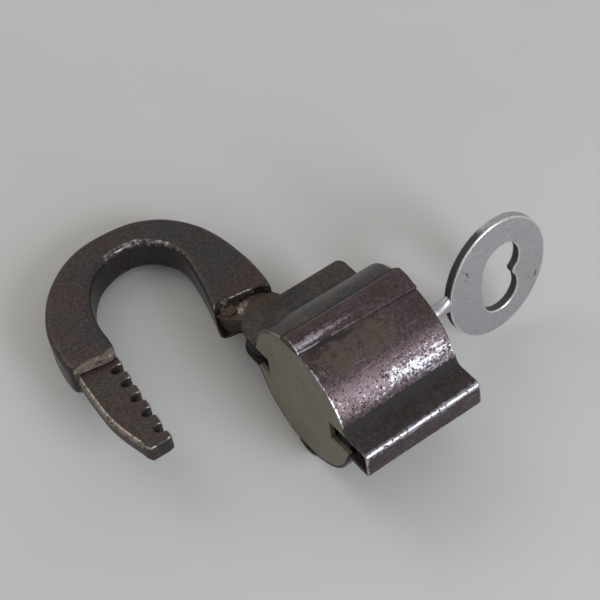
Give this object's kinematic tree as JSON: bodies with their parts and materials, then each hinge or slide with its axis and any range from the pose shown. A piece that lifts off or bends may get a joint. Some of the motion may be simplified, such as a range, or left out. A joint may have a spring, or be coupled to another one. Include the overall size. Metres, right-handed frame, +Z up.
{
  "type": "padlock with a toothed shackle",
  "caption": "Old steel padlock with a barrel body, a side-swinging horseshoe shackle that has a toothed tongue, and a turn key in its rear end.",
  "frame": {"origin": "centre of the bounding box's footprint, on the table that the lock rests on", "axes": "+X along the barrel from the front face to the key, +Y from the slot lip to the hinge lip and shackle, +Z up; the lock rests rolled 11.65 degrees about X toward +Y"},
  "size_m": [0.097, 0.0878, 0.0347],
  "materials": {
    "barrel_cam": "dull oiled steel",
    "bolt": "dull oiled steel",
    "bolt_spring": "blued spring steel",
    "crest_strip_bottom": "rusted",
    "crest_strip_top": "rusted",
    "front_carrier": "dull oiled steel",
    "front_plate": "worn dark patina with rust",
    "hinge_side_shell": "worn dark patina with rust",
    "key": "bright worn steel",
    "key_barrel": "dull oiled steel",
    "keyhole_bush": "dull oiled steel",
    "pillar_a": "dull oiled steel",
    "pillar_b": "dull oiled steel",
    "pillar_c": "dull oiled steel",
    "pillar_d": "dull oiled steel",
    "pivot_pin": "worn dark patina with rust",
    "pivot_washer_bottom": "dull oiled steel",
    "pivot_washer_top": "dull oiled steel",
    "rear_carrier": "dull oiled steel",
    "rear_plate": "worn dark patina with rust",
    "shackle": "worn dark patina with rust",
    "slot_side_shell": "worn dark patina with rust",
    "spring_block": "dull oiled steel",
    "tongue_guide_bottom": "dull oiled steel",
    "tongue_guide_top": "dull oiled steel"
  },
  "bodies": {
    "lock": {"bolt_spring": "bolt_spring", "crest_strip_bottom": "crest_strip_bottom", "crest_strip_top": "crest_strip_top", "front_carrier": "front_carrier", "front_plate": "front_plate", "hinge_side_shell": "hinge_side_shell", "keyhole_bush": "keyhole_bush", "pillar_a": "pillar_a", "pillar_b": "pillar_b", "pillar_c": "pillar_c", "pillar_d": "pillar_d", "pivot_pin": "pivot_pin", "pivot_washer_bottom": "pivot_washer_bottom", "pivot_washer_top": "pivot_washer_top", "rear_carrier": "rear_carrier", "rear_plate": "rear_plate", "slot_side_shell": "slot_side_shell", "spring_block": "spring_block", "tongue_guide_bottom": "tongue_guide_bottom", "tongue_guide_top": "tongue_guide_top"},
    "shackle": {"shackle": "shackle"},
    "barrel": {"key_barrel": "key_barrel", "barrel_cam": "barrel_cam"},
    "key": {"key": "key"},
    "bolt": {"bolt": "bolt"}
  },
  "joints": [
    {"name": "shackle_swing", "type": "hinge", "parent": "lock", "child": "shackle", "pos_m": [-0.00909, -0.0028, 0.01361], "axis": [0, 0.2019, 0.9794], "range_deg": [0, 102]},
    {"name": "key_turn", "type": "hinge", "parent": "lock", "child": "barrel", "pos_m": [0.00491, -0.02118, 0.01801], "axis": [1, 0, 0], "range_deg": [0, 90]},
    {"name": "key_withdraw", "type": "slide", "parent": "barrel", "child": "key", "axis": [1, 0, 0], "range_m": [0, 0.018]},
    {"name": "bolt_slide", "type": "slide", "parent": "lock", "child": "bolt", "axis": [0, 0.9794, -0.2019], "range_m": [-0.0034, 0], "deforming": ["bolt_spring"]}
  ],
  "couplings": [
    {"joint": "bolt_slide", "follows": "key_turn", "m_per_rad": -0.0021608}
  ]
}
